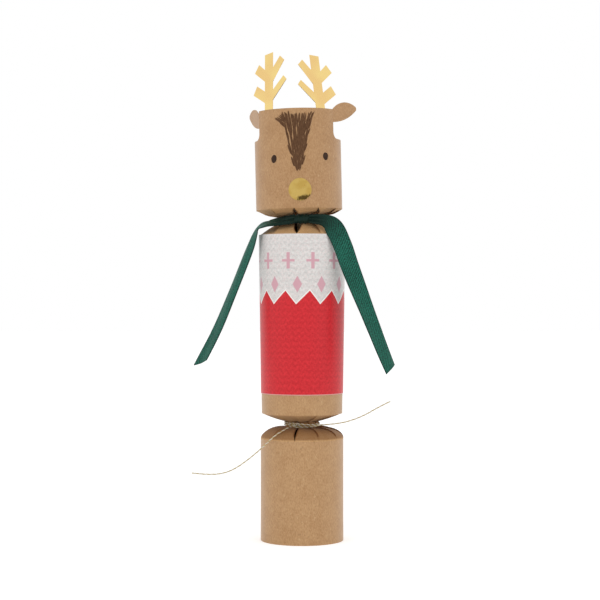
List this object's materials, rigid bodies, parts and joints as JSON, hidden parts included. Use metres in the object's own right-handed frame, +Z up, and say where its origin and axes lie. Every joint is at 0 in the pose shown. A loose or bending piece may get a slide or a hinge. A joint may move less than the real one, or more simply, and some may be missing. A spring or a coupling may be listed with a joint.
{
  "type": "christmas cracker",
  "caption": "Kraft card christmas cracker dressed as a reindeer, with a printed jumper, ribbon scarf and gold card antlers; its necks tear apart when it is pulled.",
  "frame": {"origin": "centre of the foot's lower rim, on the surface that the cracker stands on", "axes": "+Z up along the foot and the barrel, -Y towards the front of the face, +X to the right of the face as it is looked at"},
  "size_m": [0.1201, 0.0555, 0.2889],
  "materials": {
    "kraft_card": "matte",
    "liner_card": "matte",
    "jumper_paper": "satin",
    "gold_card": "gloss",
    "gold_foil": "gloss",
    "scarf_ribbon": "satin",
    "twine": "satin",
    "snap_card": "matte",
    "tissue": "matte",
    "hat_band_paper": "matte",
    "motto_paper": "matte",
    "turned_wood": "satin"
  },
  "bodies": {
    "foot": {"foot_wrap": "kraft_card", "foot_crimp": "kraft_card", "foot_liner": "liner_card", "twine_wrap": "twine", "twine_knot": "twine", "twine_left_tail": "twine", "twine_right_tail": "twine", "snap_lower_strip": "snap_card", "snap_collar": "snap_card"},
    "barrel": {"barrel_wrap": "kraft_card", "barrel_bottom_crimp": "kraft_card", "barrel_top_crimp": "kraft_card", "barrel_liner": "liner_card", "jumper_band": "jumper_paper", "scarf_loop": "scarf_ribbon", "scarf_knot": "scarf_ribbon", "scarf_left_tail": "scarf_ribbon", "scarf_right_tail": "scarf_ribbon"},
    "head": {"head_wrap": "kraft_card", "head_crimp": "kraft_card", "head_liner": "liner_card", "left_antler": "gold_card", "right_antler": "gold_card", "nose_foil": "gold_foil", "snap_upper_strip": "snap_card"},
    "hat": {"paper_hat": "tissue", "hat_band": "hat_band_paper"},
    "motto": {"motto_slip": "motto_paper"},
    "top": {"top_disc": "turned_wood", "top_peg": "turned_wood"}
  },
  "joints": [
    {"name": "barrel_pull", "type": "slide", "parent": "foot", "child": "barrel", "axis": [0, 0, 1], "range_m": [0, 0.085]},
    {"name": "head_pull", "type": "slide", "parent": "barrel", "child": "head", "axis": [0, 0, 1], "range_m": [0, 0.085]},
    {"name": "hat_slide", "type": "slide", "parent": "barrel", "child": "hat", "axis": [0, 0, 1], "range_m": [0, 0.024]},
    {"name": "motto_slide", "type": "slide", "parent": "barrel", "child": "motto", "axis": [0, 0, 1], "range_m": [0, 0.048]},
    {"name": "top_slide", "type": "slide", "parent": "barrel", "child": "top", "axis": [0, 0, 1], "range_m": [0, 0.084]}
  ]
}
